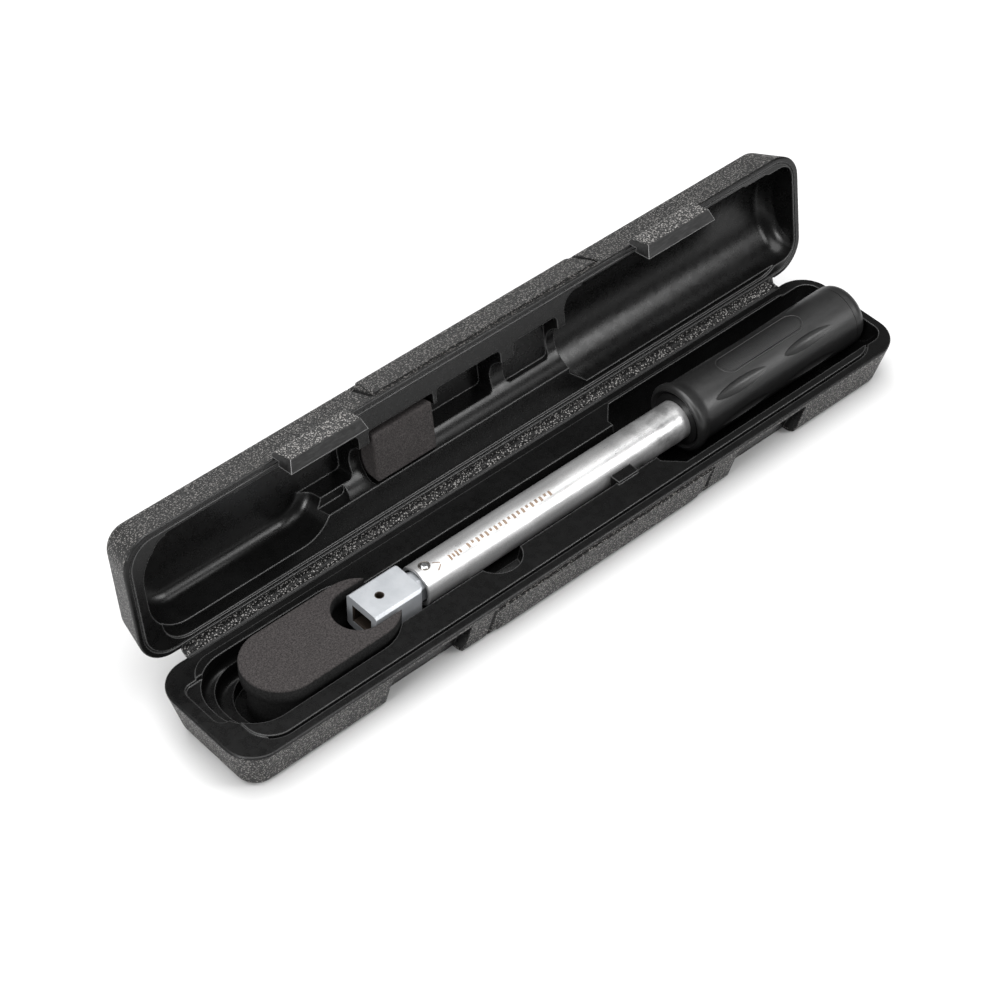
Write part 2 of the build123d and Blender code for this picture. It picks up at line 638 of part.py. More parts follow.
def build():
    """Every node by name, in its place at rest."""
    base_leaf = make_hinge_leaf(lid=False)
    lid_leaf = make_hinge_leaf(lid=True)
    base = make_case_base() - Pos(0, 0, RIM_Z) * base_leaf
    lid = make_case_lid() - lid_leaf
    nodes = {
        "case_base": base,
        "hinge_leaf_base": Pos(0, 0, RIM_Z) * base_leaf,
        "head_foam": make_head_foam(),
        "case_lid": closed_to_open(lid),
        "hinge_leaf_lid": closed_to_open(lid_leaf),
        "lid_pad": closed_to_open(make_lid_pad()),
    }
    for name, centre in LATCH_CENTRES.items():
        nodes["latch_" + name] = closed_to_open(make_latch(centre))
        nodes["latch_pin_" + name] = closed_to_open(make_latch_pin(centre))
    wrench = {
        "body_tube": make_tube(),
        "receiver_head": make_receiver_head(),
        "pivot_pin": make_pivot_pin(),
        "click_block": make_click_block(),
        "plunger": make_plunger(),
        "main_spring": make_main_spring(),
        "spring_seat": make_spring_seat(),
        "adjusting_screw": make_adjusting_screw(),
        "lock_nut": make_lock_nut(),
        "end_plug": make_end_plug(),
        "retaining_ring": make_retaining_ring(),
        "grip": make_grip(),
        "grip_panel": make_grip_panel(),
        "grip_collar": make_grip_collar(),
        "end_cap": make_end_cap(),
    }
    for name, shape in wrench.items():
        nodes[name] = wrench_place(shape)
    return nodes


os.makedirs("parts", exist_ok=True)
for node, shape in build().items():
    export_step(shape, "parts/" + node + ".step")
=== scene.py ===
import json
import math

import bmesh
import bpy
from mathutils import Matrix, Vector, noise


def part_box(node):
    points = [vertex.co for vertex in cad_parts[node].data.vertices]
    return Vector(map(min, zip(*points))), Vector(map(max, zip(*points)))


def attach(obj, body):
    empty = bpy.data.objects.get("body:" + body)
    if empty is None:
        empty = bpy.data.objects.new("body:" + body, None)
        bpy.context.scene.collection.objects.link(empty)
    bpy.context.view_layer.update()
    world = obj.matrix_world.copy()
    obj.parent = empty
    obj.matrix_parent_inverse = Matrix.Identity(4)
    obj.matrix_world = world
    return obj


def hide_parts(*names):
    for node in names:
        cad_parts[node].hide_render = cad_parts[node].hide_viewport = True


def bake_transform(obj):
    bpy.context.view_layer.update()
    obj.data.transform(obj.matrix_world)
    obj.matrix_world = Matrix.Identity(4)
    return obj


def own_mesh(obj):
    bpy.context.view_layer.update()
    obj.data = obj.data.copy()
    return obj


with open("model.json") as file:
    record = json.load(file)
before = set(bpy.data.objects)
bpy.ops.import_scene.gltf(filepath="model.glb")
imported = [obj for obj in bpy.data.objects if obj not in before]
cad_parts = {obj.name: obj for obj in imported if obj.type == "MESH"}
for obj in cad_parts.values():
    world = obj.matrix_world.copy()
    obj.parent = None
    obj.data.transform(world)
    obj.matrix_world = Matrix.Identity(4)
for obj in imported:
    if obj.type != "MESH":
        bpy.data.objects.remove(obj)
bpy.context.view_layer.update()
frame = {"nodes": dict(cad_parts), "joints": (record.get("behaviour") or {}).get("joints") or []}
nodes = frame["nodes"]

MM = 0.001

# ---------------------------------------------------------------- places read from the frame
joints = {j["name"]: j for j in frame["joints"]}
HINGE = Vector(joints["lid_hinge"]["pos_m"])
OPEN = math.radians(joints["lid_hinge"]["range_deg"][1])
AXIS = Vector(joints["head_swing"]["pos_m"])
tube_low, tube_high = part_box("body_tube")
foam_low, foam_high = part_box("head_foam")
panel_low, panel_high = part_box("grip_panel")
leaf_low, leaf_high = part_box("hinge_leaf_base")
spring_low, spring_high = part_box("main_spring")
TUBE_R = (tube_high.y - tube_low.y) / 2
CATCH_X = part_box("receiver_head")[0].x + 11 * MM
LID_SHUT = Matrix.Translation(HINGE) @ Matrix.Rotation(OPEN, 4, "X") @ Matrix.Translation(-HINGE)
LID_OPEN = LID_SHUT.inverted()

# ---------------------------------------------------------------- sizes of the case, shut
RIM = 28 * MM
HALF_L, HALF_W, CORNER = 215 * MM, 35.75 * MM, 17 * MM
TAPER = math.tan(math.radians(15))
# how far from the rim each half's walls start and end their turn into the outer face, and where that face is
WALL_TURN = {"base": (20.5 * MM, 26.0 * MM), "lid": (17.5 * MM, 22.0 * MM)}
OUTER_FACE = {"base": (25.5 * MM, 26.5 * MM), "lid": (21.6 * MM, 22.4 * MM)}
# the latch's outer face at the rim, and how far it leans out for each metre below it
LATCH_FACE_Y = -39.2 * MM
LATCH_SLOPE = 0.122
# the lid's leaf of the hinge, in mm over the rim
LEAF_UNDER = 1.1
LEAF_OVER = 2.8
# where the grained band on the hinge strip, with painted sheen on its grain, begins and ends
BAND_FRONT = (35.3 * MM, 35.7 * MM)
BAND_TOP = (RIM + 6.0 * MM, RIM + 5.5 * MM)

# ---------------------------------------------------------------- sizes of the soft pieces and the small ones
# the foam block: the radius of its round ends, the middle of the right one, the notch, and its top slab
FOAM_R = 20 * MM
FOAM_RIGHT = -119 * MM
NOTCH_X, NOTCH_Y, NOTCH_R = -118.5 * MM, 2 * MM, 13.4 * MM
SLAB_DEPTH = 9.5 * MM
# the lid's pad, shut: its extent, its edges' round, and how far it is crowned, drawn in and uneven
PAD_X = (-71.5 * MM, -34.5 * MM)
PAD_Y = (-15.0 * MM, 12.6 * MM)
PAD_SEAT, PAD_FACE = RIM + 15 * MM, RIM + 0.8 * MM
PAD_ROUND = 1.3 * MM
PAD_CROWN = 0.5 * MM
PAD_PULL = 0.35 * MM
PAD_UNEVEN = 0.18 * MM
# the spans over which the plate turns into painted shade: the socket's sides, top and end, and the catch hole
SOCKET_SIDE = (6.9 * MM, 6.6 * MM)
SOCKET_TOP = (5.4 * MM, 5.1 * MM)
SOCKET_END = (-95.0 * MM, -95.6 * MM)
CATCH_RIM = (2.5 * MM, 2.2 * MM)
WIRE_R = 1.4 * MM
SPRING_TURNS = 15
MARK_LIFT = 0.04 * MM
# half of the floor's side, in metres
FLOOR_HALF = 8.0


# ---------------------------------------------------------------- node helpers
class Tree:
    """A small material builder: its calls add the nodes and return the socket that comes out."""

    def __init__(self, name):
        self.mat = bpy.data.materials.new(name)
        self.mat.use_nodes = True
        self.nt = self.mat.node_tree
        self.bsdf = self.nt.nodes["Principled BSDF"]

    def feed(self, node, values):
        """Links every socket and sets every plain value into the node's inputs."""
        for key, value in values.items():
            if isinstance(value, bpy.types.NodeSocket):
                self.nt.links.new(value, node.inputs[key])
            else:
                node.inputs[key].default_value = value

    def add(self, kind, ins=None, out=0, **props):
        node = self.nt.nodes.new(kind)
        for key, value in props.items():
            setattr(node, key, value)
        self.feed(node, ins or {})
        return node.outputs[out]

    def math(self, op, a, b=0.0, c=0.0):
        return self.add("ShaderNodeMath", {0: a, 1: b, 2: c}, operation=op)

    def vec(self, op, a, b, out=0):
        return self.add("ShaderNodeVectorMath", {0: a, 1: b}, out=out, operation=op)

    def length(self, a, b):
        """The length of the plane vector (a, b)."""
        return self.math("SQRT", self.math("ADD", self.math("MULTIPLY", a, a), self.math("MULTIPLY", b, b)))

    def place(self):
        return self.add("ShaderNodeTexCoord", out=3)

    def xyz(self, vector):
        node = self.nt.nodes.new("ShaderNodeSeparateXYZ")
        self.feed(node, {0: vector})
        return node.outputs[0], node.outputs[1], node.outputs[2]

    def noise(self, vector, scale, detail=3.0, rough=0.55):
        ins = {"Vector": vector, "Scale": scale, "Detail": detail, "Roughness": rough}
        return self.add("ShaderNodeTexNoise", ins)

    def cells(self, vector, scale, randomness=1.0):
        ins = {"Vector": vector, "Scale": scale, "Randomness": randomness}
        return self.add("ShaderNodeTexVoronoi", ins)

    def ramp(self, value, lo, hi, to_lo=0.0, to_hi=1.0):
        """The value taken from the span lo to hi, which may run down, to the span to_lo to to_hi."""
        ins = {"Value": value, 1: lo, 2: hi, 3: to_lo, 4: to_hi}
        return self.add("ShaderNodeMapRange", ins, clamp=True)

    def mix(self, factor, a, b):
        return self.add("ShaderNodeMix", {0: factor, 6: a, 7: b}, out=2, data_type="RGBA")

    def blend(self, factor, a, b):
        return self.add("ShaderNodeMix", {0: factor, 2: a, 3: b}, data_type="FLOAT")

    def bump(self, height, strength, distance, under=None):
        ins = {"Height": height, "Strength": strength, "Distance": distance}
        if under is not None:
            ins["Normal"] = under
        return self.add("ShaderNodeBump", ins)

    def edges(self, radius):
        """Normals as if every sharp edge were rounded by this radius."""
        return self.add("ShaderNodeBevel", {"Radius": radius}, samples=6)

    def highlight_edge_mask(self, rounded):
        """1 along sharp edges, where a highlight is painted, from how far the rounded normal leans away from
        the true one.
        """
        flat = self.add("ShaderNodeNewGeometry", out=1)
        return self.ramp(self.vec("DOT_PRODUCT", rounded, flat, out="Value"), 0.985, 0.80)

    def finish(self, color, rough, normal=None, metal=0.0, **more):
        self.feed(self.bsdf, {"Base Color": color, "Roughness": rough, "Metallic": metal})
        if normal is not None:
            self.feed(self.bsdf, {"Normal": normal})
        for key, value in more.items():
            self.bsdf.inputs[key.replace("_", " ")].default_value = value
        return self.mat


def grey(value, warm=0.0):
    """A grey, with a share more red and less blue if it is warm."""
    return (value * (1 + warm), value, value * (1 - warm), 1.0)


# ---------------------------------------------------------------- materials
def outside_mask(t, place, half):
    """1 on a case half's tapered outer walls and its big outer face, 0 inside the case and on the rim."""
    x, y, z = t.xyz(place)
    ax = t.math("MAXIMUM", t.math("SUBTRACT", t.math("ABSOLUTE", x), HALF_L - CORNER), 0.0)
    ay = t.math("MAXIMUM", t.math("SUBTRACT", t.math("ABSOLUTE", y), HALF_W - CORNER), 0.0)
    dist = t.length(ax, ay)
    away = t.math("SUBTRACT", z, RIM) if half == "lid" else t.math("SUBTRACT", RIM, z)
    edge = t.math("MULTIPLY_ADD", away, TAPER, t.math("SUBTRACT", dist, CORNER))
    # a point may lie this far inside the straight taper, more where the wall turns into the outer face
    slack = t.ramp(away, *WALL_TURN[half], 0.55 * MM, 2.6 * MM)
    wall = t.ramp(t.math("ADD", edge, slack), 0.0, 0.25 * MM)
    below = t.ramp(away, 0.9 * MM, 1.3 * MM)
    far = t.ramp(away, *OUTER_FACE[half])
    return t.math("MAXIMUM", t.math("MULTIPLY", wall, below), far)


def grain(t, place):
    """The fine leather-like moulding grain of the case's outside: its height, 0 to 1."""
    reach = 1.4 * MM
    warp = t.add("ShaderNodeTexNoise", {"Vector": place, "Scale": 700.0, "Detail": 1.0}, out=1)
    shift = t.vec("MULTIPLY", t.vec("SUBTRACT", warp, (0.5, 0.5, 0.5)), (reach, reach, reach))
    moved = t.vec("ADD", place, shift)
    pebbles = t.ramp(t.cells(moved, 900.0), 0.55, 0.10)
    fine = t.noise(place, 1400.0, 3.0, 0.65)
    return t.math("MULTIPLY_ADD", fine, 0.6, t.math("MULTIPLY", pebbles, 0.6))


def shut_place(t):
    """The place on the open lid, turned back to where it is when the lid is shut."""
    place = t.place()
    ins = {"Vector": place, "Center": HINGE, "Angle": OPEN}
    return t.add("ShaderNodeVectorRotate", ins, rotation_type="X_AXIS")


def case_material(name, bright, half):
    """Smooth black inside, with painted highlights along its edges, and grain on the outside with painted
    sheen on its peaks.
    """
    t = Tree(name)
    place = shut_place(t) if half == "lid" else t.place()
    outside = outside_mask(t, place, half)
    rough_skin = grain(t, place)
    cloud = t.noise(place, 60.0, 3.0)
    rounded = t.edges(1.0 * MM)
    smooth_color = t.mix(t.ramp(cloud, 0.35, 0.7), grey(0.0022), grey(0.0034))
    # painted highlight: sharp edges are lightened for the light a rounded edge would catch
    smooth_color = t.mix(t.highlight_edge_mask(rounded), smooth_color, grey(0.085))
    # painted sheen: the grain's peaks are lightened for the light the grain catches
    speck = t.ramp(rough_skin, 0.50, 0.72)
    grain_sheen_color = t.mix(speck, grey(0.003, 0.03), grey(bright, 0.05))
    color = t.mix(outside, smooth_color, grain_sheen_color)
    satin = t.ramp(t.noise(place, 240.0, 4.0), 0.3, 0.75, 0.24, 0.33)
    rough = t.blend(outside, satin, t.ramp(rough_skin, 0.4, 0.9, 0.46, 0.30))
    fine = t.noise(place, 1500.0, 2.0)
    soft = t.bump(fine, 0.04, 0.2 * MM, rounded)
    height = t.math("MULTIPLY", rough_skin, outside)
    normal = t.bump(height, 1.0, 0.9 * MM, soft)
    return t.finish(color, rough, normal, Specular_IOR_Level=0.27)


def latch_material():
    """Grain with painted sheen on its peaks on the latch's outer face, drawn plastic with painted highlights
    along its edges on its other sides.
    """
    t = Tree("latch_plastic")
    place = shut_place(t)
    _, y, z = t.xyz(place)
    # how far a point lies behind the latch's sloping outer face
    depth = t.math("SUBTRACT", RIM, z)
    behind = t.math("MULTIPLY_ADD", depth, LATCH_SLOPE, t.math("SUBTRACT", y, LATCH_FACE_Y))
    face = t.ramp(behind, 0.40 * MM, 0.15 * MM)
    skin = grain(t, place)
    # painted sheen: the grain's peaks on the outer face are lightened for the light the grain catches
    grain_sheen = t.mix(t.ramp(skin, 0.46, 0.70), grey(0.006, 0.03), grey(0.30, 0.04))
    rounded = t.edges(0.8 * MM)
    streak = t.noise(t.vec("MULTIPLY", place, (0.25, 1.0, 1.0)), 900.0, 3.0)
    side = t.mix(t.ramp(streak, 0.45, 0.75), grey(0.004), grey(0.020))
    # painted highlight: the edges of the other sides are lightened for the light a rounded edge would catch
    side = t.mix(t.highlight_edge_mask(rounded), side, grey(0.30))
    rough = t.blend(face, t.ramp(t.noise(place, 300.0), 0.3, 0.7, 0.30, 0.40), 0.34)
    soft = t.bump(streak, 0.10, 0.2 * MM, rounded)
    normal = t.bump(t.math("MULTIPLY", skin, face), 1.0, 0.8 * MM, soft)
    return t.finish(t.mix(face, side, grain_sheen), rough, normal)


def hinge_material():
    """Black strip with the grain, its peaks lightened as painted sheen, in a band along its bend."""
    t = Tree("hinge_strip")
    place = t.place()
    skin = grain(t, place)
    _, y, z = t.xyz(place)
    band = t.math("MULTIPLY", t.ramp(y, *BAND_FRONT), t.ramp(z, *BAND_TOP))
    # painted sheen: the grain's peaks in the band are lightened for the light the grain catches
    speck = t.math("MULTIPLY", t.ramp(skin, 0.50, 0.72), band)
    color = t.mix(speck, grey(0.003), grey(0.27, 0.03))
    normal = t.bump(t.math("MULTIPLY", skin, band), 0.9, 0.7 * MM)
    return t.finish(color, t.ramp(skin, 0.2, 0.9, 0.46, 0.34), normal, Specular_IOR_Level=0.3)


def foam_material(name, base, shade_below=None):
    """Charcoal foam with fine open pores, and painted shade on its sides below the top where shade_below is
    given.
    """
    t = Tree(name)
    place = t.place()
    pores = t.cells(place, 1500.0)
    big = t.noise(place, 900.0, 3.0, 0.7)
    tone = t.math("MULTIPLY_ADD", pores, 0.5, t.math("MULTIPLY", big, 0.9))
    speck = t.ramp(tone, 0.45, 1.0)
    low, high = base * 0.45, base * 1.75
    color = t.mix(speck, (low * 1.12, low, low * 1.0, 1), (high * 1.11, high, high * 0.985, 1))
    if shade_below is not None:
        # painted shade: the sides below the skin on top are darkened, as they stand in shadow
        side = t.ramp(t.xyz(place)[2], shade_below, shade_below - 0.8 * MM)
        color = t.mix(side, color, t.mix(speck, grey(low * 0.35), grey(high * 0.42)))
    normal = t.bump(pores, 0.6, 0.3 * MM, t.bump(big, 0.4, 0.5 * MM))
    return t.finish(color, t.ramp(big, 0.3, 0.8, 0.86, 0.98), normal, Specular_IOR_Level=0.2)


def tube_material():
    """Satin chrome, drawn along the tube and finely dappled."""
    t = Tree("tube_satin_chrome")
    place = t.place()
    stretched = t.vec("MULTIPLY", place, (0.3, 1.0, 1.0))
    drawn = t.noise(stretched, 600.0, 3.0, 0.6)
    fine = t.noise(place, 1800.0, 3.0, 0.6)
    smudge = t.noise(place, 38.0, 3.0)
    # painted reflection: darker, uneven patches towards the grip, where the chrome mirrors the dark grip
    grip_reflection_span = t.ramp(t.xyz(place)[0], 30.0 * MM, 70.0 * MM)
    patch = t.math("MULTIPLY", t.ramp(t.noise(place, 85.0, 4.0, 0.6), 0.44, 0.62), grip_reflection_span)
    color = t.mix(t.ramp(smudge, 0.3, 0.75), grey(0.52), grey(0.66))
    color = t.mix(t.ramp(fine, 0.35, 0.65), t.mix(0.35, color, grey(0.25)), color)
    # painted reflection of the dark grip, mixed in over the patches
    color = t.mix(t.math("MULTIPLY", patch, 0.6), color, grey(0.12))
    rough = t.math("ADD", t.ramp(drawn, 0.3, 0.7, 0.27, 0.33), t.ramp(smudge, 0.4, 0.8, 0.0, 0.06))
    normal = t.bump(fine, 0.30, 0.16 * MM, t.bump(drawn, 0.08, 0.1 * MM))
    return t.finish(color, rough, normal, metal=0.72)


def head_material():
    """Satin plate, with painted shade in the socket and in the catch hole."""
    t = Tree("head_satin_plate")
    place = t.place()
    cast = t.noise(place, 1500.0, 3.0, 0.6)
    smudge = t.noise(place, 90.0, 4.0)
    plate = t.mix(t.ramp(smudge, 0.3, 0.75), (0.36, 0.375, 0.395, 1), (0.46, 0.475, 0.495, 1))
    # painted shade inside the socket and round the catch hole
    x, y, z = t.xyz(place)
    across = t.math("ABSOLUTE", t.math("SUBTRACT", y, AXIS.y))
    height = t.math("ABSOLUTE", t.math("SUBTRACT", z, AXIS.z))
    painted_shade = t.math("MULTIPLY", t.ramp(across, *SOCKET_SIDE), t.ramp(height, *SOCKET_TOP))
    painted_shade = t.math("MULTIPLY", painted_shade, t.ramp(x, *SOCKET_END))
    from_hole = t.vec("SUBTRACT", place, (CATCH_X, AXIS.y, AXIS.z))
    hole_x, hole_y, _ = t.xyz(from_hole)
    painted_shade = t.math("MAXIMUM", painted_shade, t.ramp(t.length(hole_x, hole_y), *CATCH_RIM))
    # painted shade: the socket and the catch hole are darkened to a dark brown
    color = t.mix(painted_shade, plate, (0.035, 0.026, 0.020, 1))
    rough = t.ramp(cast, 0.3, 0.7, 0.42, 0.52)
    normal = t.bump(cast, 0.35, 0.18 * MM, t.edges(0.5 * MM))
    return t.finish(color, rough, normal, metal=0.45)


def steel_material(name, value, low, high, warm=0.0):
    """Turned steel of a grey value, with a roughness from low to high."""
    t = Tree(name)
    place = t.place()
    turned = t.noise(t.vec("MULTIPLY", place, (4.0, 1.0, 1.0)), 700.0, 3.0)
    smudge = t.noise(place, 150.0, 3.0)
    color = t.mix(t.ramp(smudge, 0.3, 0.7), grey(value * 0.82, warm), grey(value, warm))
    return t.finish(color, t.ramp(turned, 0.3, 0.7, low, high), t.bump(turned, 0.12, 0.1 * MM), metal=1.0)


def grip_material(name, color_lo, color_hi, rough_lo, rough_hi, stipple=0.0):
    """Black moulded plastic between two greys and two roughnesses, with raised dots if asked."""
    t = Tree(name)
    place = t.place()
    cloud = t.noise(place, 45.0, 4.0)
    fine = t.noise(place, 1700.0, 3.0, 0.6)
    color = t.mix(t.ramp(cloud, 0.3, 0.75), grey(color_lo), grey(color_hi))
    rough = t.ramp(t.noise(place, 320.0, 4.0), 0.3, 0.75, rough_lo, rough_hi)
    normal = t.bump(fine, 0.22, 0.14 * MM)
    if stipple:
        dots = t.cells(place, 900.0, randomness=0.35)
        normal = t.bump(dots, stipple, 0.25 * MM, normal)
    return t.finish(color, rough, normal)


def mark_material():
    """Worn brown etching."""
    t = Tree("etched_marks")
    place = t.place()
    worn = t.noise(place, 1100.0, 3.0)
    color = t.mix(t.ramp(worn, 0.35, 0.7), (0.15, 0.105, 0.075, 1), (0.27, 0.20, 0.15, 1))
    return t.finish(color, t.ramp(worn, 0.3, 0.7, 0.35, 0.5), t.bump(worn, 0.2, 0.1 * MM), metal=0.55)


def floor_material():
    """Pale, matt and almost even."""
    t = Tree("pale_floor")
    place = t.place()
    tone = t.noise(place, 3.0, 2.0)
    return t.finish(t.mix(t.ramp(tone, 0.3, 0.7), grey(0.60), grey(0.615)), 0.8, Specular_IOR_Level=0.2)


def paint(node, material):
    """Gives a carried-over CAD node its material in every slot."""
    mesh = nodes[node].data
    if not mesh.materials:
        mesh.materials.append(material)
    for i in range(len(mesh.materials)):
        mesh.materials[i] = material


# ---------------------------------------------------------------- mesh helpers
def sheet_faces(rows, cols, wrap_rows=False, wrap_cols=False):
    """Quads over rows of points with the same count in each, closed on themselves where asked."""
    faces = []
    for i in range(rows if wrap_rows else rows - 1):
        for j in range(cols if wrap_cols else cols - 1):
            down, right = (i + 1) % rows, (j + 1) % cols
            faces.append((i * cols + j, i * cols + right, down * cols + right, down * cols + j))
    return faces


def end_faces(rows, cols):
    """The two faces that close the first and the last row of a tube of points."""
    return [tuple(range(cols)), tuple((rows - 1) * cols + j for j in range(cols))]


def make_object(name, verts, faces, material):
    """A smooth-shaded mesh object with its doubled points merged and its faces turned outwards."""
    mesh = bpy.data.meshes.new(name)
    mesh.from_pydata([tuple(v) for v in verts], [], faces)
    mesh.validate()
    obj = bpy.data.objects.new(name, mesh)
    bpy.context.scene.collection.objects.link(obj)
    mesh.materials.append(material)
    bm = bmesh.new()
    bm.from_mesh(mesh)
    bmesh.ops.remove_doubles(bm, verts=bm.verts, dist=1e-6)
    bmesh.ops.recalc_face_normals(bm, faces=bm.faces)
    bm.to_mesh(mesh)
    bm.free()
    for poly in mesh.polygons:
        poly.use_smooth = True
    return obj


def bevel(obj, width, segments, angle):
    """Rounds every edge sharper than an angle in degrees, in the mesh itself."""
    mod = obj.modifiers.new("bevel", "BEVEL")
    mod.width = width
    mod.segments = segments
    mod.limit_method = "ANGLE"
    mod.angle_limit = math.radians(angle)
    bpy.context.view_layer.update()
    deps = bpy.context.evaluated_depsgraph_get()
    mesh = bpy.data.meshes.new_from_object(obj.evaluated_get(deps))
    obj.modifiers.clear()
    obj.data = mesh


# ---------------------------------------------------------------- foam block under the wrench's head
def arc(x, y, radius, start, sweep, steps):
    """Points along an arc in the plan, both its ends included."""
    angles = [start + sweep * i / steps for i in range(steps + 1)]
    return [(x + radius * math.cos(a), y + radius * math.sin(a)) for a in angles]


def foam_outline(inset):
    """The block's plan, going round: a stadium with a round notch that opens towards the wrench."""
    r, notch_r = FOAM_R - inset, NOTCH_R + inset
    cy = (foam_low.y + foam_high.y) / 2
    dy = NOTCH_Y - cy
    tip = math.asin((notch_r + dy) / r)
    low = math.asin((dy - notch_r) / r)
    quarter = math.pi / 2
    points = arc(FOAM_RIGHT, cy, r, quarter, tip - quarter, 15)
    points += arc(NOTCH_X, NOTCH_Y, notch_r, quarter, math.pi, 32)
    points += arc(FOAM_RIGHT, cy, r, low, -quarter - low, 15)
    points += arc(foam_low.x + FOAM_R, cy, r, -quarter, -math.pi, 40)
    return points


def build_head_foam():
    """The loose block, with soft cut edges and a very slightly uneven top."""
    top, bottom = foam_high.z, foam_low.z
    seam = top - SLAB_DEPTH
    # height, inset and shift in mm of each ring: a smaller lower block, set towards the wrench, and the slab
    profile = (
        (bottom, 2.2, 1.6), (bottom + 0.5 * MM, 1.8, 1.6), (bottom + 9 * MM, 1.9, 1.6),
        (seam - 0.4 * MM, 1.8, 1.6), (seam, 0.9, 0.6), (seam + 0.2 * MM, 0.15, 0.0),
        (seam + 4 * MM, 0.05, 0.0), (top - 1.1 * MM, 0.05, 0.0), (top - 0.4 * MM, 0.2, 0.0), (top, 0.8, 0.0),
    )
    verts = []
    for z, inset, shift in profile:
        verts += [(x + shift * MM, y, z) for x, y in foam_outline(inset * MM)]
    faces = sheet_faces(len(profile), len(verts) // len(profile), wrap_cols=True)
    obj = make_object("foam_block", verts, faces, foam_material("foam_charcoal", 0.027, top - 0.7 * MM))
    bm = bmesh.new()
    bm.from_mesh(obj.data)
    open_edges = [e for e in bm.edges if e.is_boundary]
    bmesh.ops.holes_fill(bm, edges=open_edges, sides=0)
    caps = [f for f in bm.faces if len(f.verts) > 8]
    bmesh.ops.triangulate(bm, faces=caps)
    bmesh.ops.recalc_face_normals(bm, faces=bm.faces)
    bm.to_mesh(obj.data)
    bm.free()
    for v in obj.data.vertices:
        if v.co.z > top - 0.6 * MM:
            v.co.z += min(0.0, noise.noise(v.co * 90.0)) * 0.25 * MM
    for poly in obj.data.polygons:
        poly.use_smooth = abs(poly.normal.z) < 0.9
    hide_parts("head_foam")
    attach(obj, "case")


# ---------------------------------------------------------------- foam pad in the lid
def build_lid_pad():
    """The pad stands a little proud of its pocket."""
    cols, rows, layers = 20, 15, 6
    verts, index = [], {}

    def point(u, v, w):
        """A point of the pad from its shares of the length, the width and the height, on the open lid."""
        x = PAD_X[0] + (PAD_X[1] - PAD_X[0]) * u
        y = PAD_Y[0] + (PAD_Y[1] - PAD_Y[0]) * v
        z = PAD_SEAT + (PAD_FACE - PAD_SEAT) * w
        crown = math.sin(math.pi * u) * math.sin(math.pi * v)
        near_face = w * w
        z -= PAD_CROWN * crown * near_face
        pull = PAD_PULL * math.sin(math.pi * w)
        x += pull * (1 if u == 0 else -1 if u == 1 else 0)
        y += pull * (1 if v == 0 else -1 if v == 1 else 0)
        z += PAD_UNEVEN * noise.noise(Vector((x, y, z)) * 120.0) * near_face
        return LID_OPEN @ Vector((x, y, z))

    def vert(i, j, k):
        """The number of the point at a column, a row and a layer, made when it is first asked for."""
        key = (i, j, k)
        if key not in index:
            index[key] = len(verts)
            verts.append(point(i / cols, j / rows, k / layers))
        return index[key]

    faces = []
    for i in range(cols):
        for j in range(rows):
            for k in (0, layers):
                faces.append((vert(i, j, k), vert(i + 1, j, k), vert(i + 1, j + 1, k), vert(i, j + 1, k)))
    for k in range(layers):
        for i in range(cols):
            for j in (0, rows):
                faces.append((vert(i, j, k), vert(i + 1, j, k), vert(i + 1, j, k + 1), vert(i, j, k + 1)))
        for j in range(rows):
            for i in (0, cols):
                faces.append((vert(i, j, k), vert(i, j + 1, k), vert(i, j + 1, k + 1), vert(i, j, k + 1)))
    obj = make_object("lid_foam_pad", verts, faces, foam_material("foam_pad", 0.027))
    bevel(obj, PAD_ROUND, 3, 50)
    for poly in obj.data.polygons:
        poly.use_smooth = True
    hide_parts("lid_pad")
    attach(obj, "lid")
    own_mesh(obj)


# ---------------------------------------------------------------- moulded strip hinge
def build_hinge_strip():
    """One thin strip from the base's rim, round the hinge line and into the lid's outer wall."""
    low, high = leaf_low, leaf_high

    def opened(y, z):
        """A point of the section given in mm on the shut lid, over the rim, taken to the open lid."""
        p = LID_OPEN @ Vector((0, y * MM, RIM + z * MM))
        return (p.y, p.z)

    section = [
        (low.y, high.z), (35.9 * MM, high.z), (36.9 * MM, high.z - 0.15 * MM),
        (37.9 * MM, high.z + 0.05 * MM), (38.55 * MM, high.z + 0.55 * MM), (38.95 * MM, high.z + 1.3 * MM),
        opened(36.5, LEAF_UNDER), opened(34.4, LEAF_UNDER), opened(34.4, LEAF_OVER), opened(36.6, LEAF_OVER),
        opened(37.8, 2.3), (39.4 * MM, 27.9 * MM), (38.0 * MM, 27.3 * MM), (36.6 * MM, low.z), (low.y, low.z),
    ]
    steps = 120
    verts = []
    for s in range(steps + 1):
        x = low.x + (high.x - low.x) * s / steps
        verts += [(x, y, z) for y, z in section]
    faces = sheet_faces(steps + 1, len(section), wrap_cols=True) + end_faces(steps + 1, len(section))
    obj = make_object("hinge_strip", verts, faces, hinge_material())
    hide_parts("hinge_leaf_base", "hinge_leaf_lid")
    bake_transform(obj)


# ---------------------------------------------------------------- plain marks on the tube
def tube_patch(x0, x1, a0, a1):
    """A thin curved patch on the tube between two lengths and two angles from the top: points and faces."""
    cols = max(2, int((x1 - x0) / (1.0 * MM)))
    rows = max(2, int(abs(a1 - a0) / 4) + 1)
    verts = []
    for i in range(cols + 1):
        for j in range(rows + 1):
            a = math.radians(a0 + (a1 - a0) * j / rows)
            x = x0 + (x1 - x0) * i / cols
            edge = i in (0, cols) or j in (0, rows)
            r = TUBE_R + (0.0 if edge else MARK_LIFT)
            verts.append((x, AXIS.y - r * math.sin(a), AXIS.z + r * math.cos(a)))
    return verts, sheet_faces(cols + 1, rows + 1)


def add_marks(name, spots):
    """One piece of many patches on the tube, each with its two lengths in metres and its two angles."""
    verts, faces = [], []
    for spot in spots:
        patch, quads = tube_patch(*spot)
        faces += [tuple(i + len(verts) for i in quad) for quad in quads]
        verts += patch
    obj = make_object(name, verts, faces, mark_material())
    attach(obj, "wrench")


